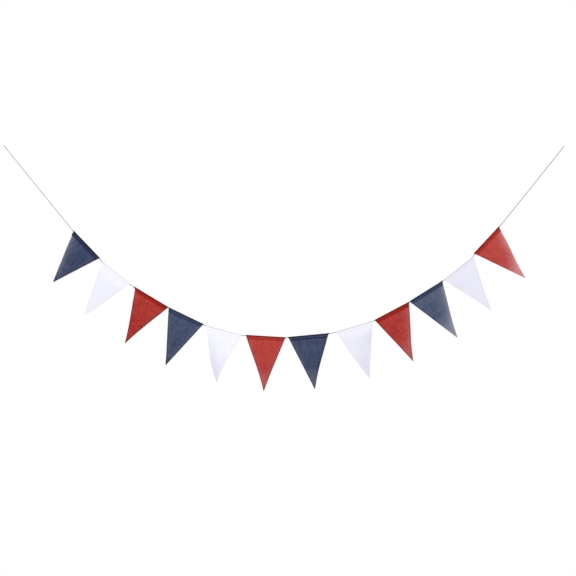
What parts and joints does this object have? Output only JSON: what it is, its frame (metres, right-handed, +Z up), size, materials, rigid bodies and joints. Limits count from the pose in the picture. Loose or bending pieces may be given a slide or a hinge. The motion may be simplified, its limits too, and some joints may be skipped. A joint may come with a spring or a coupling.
{
  "type": "burlap pennant bunting",
  "caption": "Bunting of triangular navy, white and red burlap pennants, each folded over a jute twine and stitched, hanging in a shallow curve from the twine's bare ends.",
  "frame": {"origin": "middle of the twine's left end, the point that the bunting is held by there", "axes": "+X along the bunting from its left end to its right, +Z up, the pennants' fronts face -Y"},
  "size_m": [1.8737, 0.0395, 0.8217],
  "materials": {
    "twine": "undyed jute twine, two plies, matt and slightly hairy",
    "navy_burlap": "dyed plain-weave burlap, matt, with slubs and a darker cut edge",
    "white_burlap": "bleached plain-weave burlap, matt, slightly translucent",
    "red_burlap": "dyed plain-weave burlap, matt, with slubs and a darker cut edge"
  },
  "bodies": {
    "root": {"twine": "twine", "pennant_01_navy": "navy_burlap", "pennant_02_white": "white_burlap", "pennant_03_red": "red_burlap", "pennant_04_navy": "navy_burlap", "pennant_05_white": "white_burlap", "pennant_06_red": "red_burlap", "pennant_07_navy": "navy_burlap", "pennant_08_white": "white_burlap", "pennant_09_red": "red_burlap", "pennant_10_navy": "navy_burlap", "pennant_11_white": "white_burlap", "pennant_12_red": "red_burlap"}
  },
  "joints": []
}
